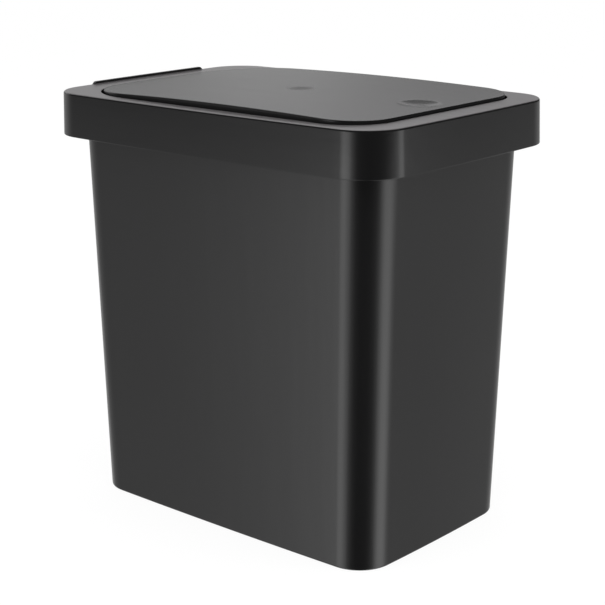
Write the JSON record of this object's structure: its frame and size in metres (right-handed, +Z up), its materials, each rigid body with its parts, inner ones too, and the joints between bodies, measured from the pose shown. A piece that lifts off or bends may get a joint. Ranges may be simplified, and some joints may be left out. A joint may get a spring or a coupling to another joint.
{
  "type": "push-top waste bin",
  "caption": "Tapered rectangular kitchen waste bin under a deep-skirted lid frame, with a push-to-open flap hinged near its back and held by a touch latch.",
  "frame": {"origin": "under the middle of the lid frame's outline, on the surface that the bin stands on", "axes": "+Z up; -Y towards the press dimple at the front; +X across the bin, to the right as seen from the front"},
  "size_m": [0.203, 0.3, 0.3019],
  "materials": {
    "bucket": "satin black moulded polypropylene",
    "lid": "satin black moulded polypropylene",
    "flap": "smooth black moulded polypropylene, a little glossier than the bucket",
    "latch": "dark grey moulded acetal",
    "slider": "natural white moulded acetal",
    "pin_steel": "bright drawn steel",
    "spring_steel": "zinc-plated spring wire",
    "screw_steel": "zinc-plated steel"
  },
  "bodies": {
    "bin": {"bin_body": "bucket"},
    "lid": {"lid_frame": "lid", "hinge_pin_right": "pin_steel", "hinge_pin_left": "pin_steel", "pin_retainers": "pin_steel", "hinge_spring_right": "spring_steel", "hinge_spring_left": "spring_steel", "latch_housing": "latch", "latch_cover": "latch", "latch_spring": "spring_steel", "latch_follower": "spring_steel", "latch_screws": "screw_steel"},
    "flap": {"flap": "flap", "striker": "slider", "striker_screws": "screw_steel"},
    "slider": {"latch_slider": "slider"}
  },
  "joints": [
    {"name": "lid_lift", "type": "slide", "parent": "bin", "child": "lid", "axis": [0, 0, 1], "range_m": [0, 0.06]},
    {"name": "flap_hinge", "type": "hinge", "parent": "lid", "child": "flap", "pos_m": [0, 0.0858, 0.294], "axis": [-1, 0, 0], "range_deg": [0, 80]},
    {"name": "latch_press", "type": "slide", "parent": "lid", "child": "slider", "axis": [0, 0, 1], "range_m": [-0.0025, 0], "stiffness_N_per_m": 300, "springref_m": 0.006, "deforming": ["latch_spring"]}
  ]
}
